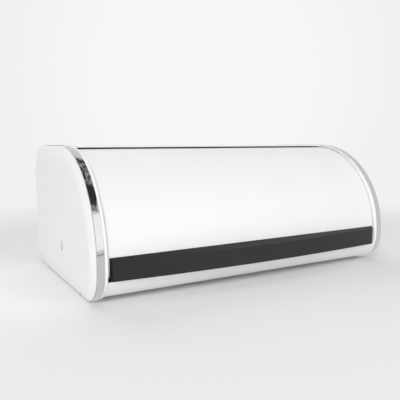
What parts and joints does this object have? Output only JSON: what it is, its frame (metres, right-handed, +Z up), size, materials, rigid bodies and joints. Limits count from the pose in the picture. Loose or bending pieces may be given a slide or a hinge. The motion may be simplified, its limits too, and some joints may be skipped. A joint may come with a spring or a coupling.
{
  "type": "roll-top bread box",
  "caption": "Low bread box with a curved front: the roll-top lid turns on side pivots and rolls back under the fixed top, between rounded end caps with chrome trim.",
  "frame": {"origin": "on the worktop, below the middle of the box measured over the end caps and the handle", "axes": "+X to the right seen from the front, +Y from the handle towards the back, +Z up"},
  "size_m": [0.445, 0.2802, 0.1726],
  "materials": {
    "powder_coat": "satin white powder coat on sheet steel",
    "white_plastic": "satin moulded white plastic",
    "chrome": "polished chrome",
    "black_plastic": "fine-grained matt black plastic",
    "zinc_steel": "bright zinc plate",
    "bush_plastic": "smooth natural acetal",
    "rubber": "matt soft rubber"
  },
  "bodies": {
    "box": {"body_shell": "powder_coat", "end_cap_screws": "zinc_steel", "shell_screws": "zinc_steel", "left_side_panel": "white_plastic", "right_side_panel": "white_plastic", "left_end_cap": "white_plastic", "right_end_cap": "white_plastic", "left_trim_strip": "chrome", "right_trim_strip": "chrome", "left_pivot_pin": "zinc_steel", "right_pivot_pin": "zinc_steel", "left_pivot_clip": "zinc_steel", "right_pivot_clip": "zinc_steel", "left_pivot_cover": "white_plastic", "right_pivot_cover": "white_plastic", "left_closed_stop": "rubber", "right_closed_stop": "rubber", "left_open_stop": "rubber", "right_open_stop": "rubber", "left_front_foot": "rubber", "right_front_foot": "rubber", "left_rear_foot": "rubber", "right_rear_foot": "rubber"},
    "lid": {"lid_sheet": "powder_coat", "handle": "black_plastic", "handle_screws": "zinc_steel", "left_lid_arm": "powder_coat", "right_lid_arm": "powder_coat", "left_pivot_bush": "bush_plastic", "right_pivot_bush": "bush_plastic"}
  },
  "joints": [
    {"name": "lid_hinge", "type": "hinge", "parent": "box", "child": "lid", "pos_m": [0, -0.00525, 0.047], "axis": [-1, 0, 0], "range_deg": [0, 82]}
  ]
}
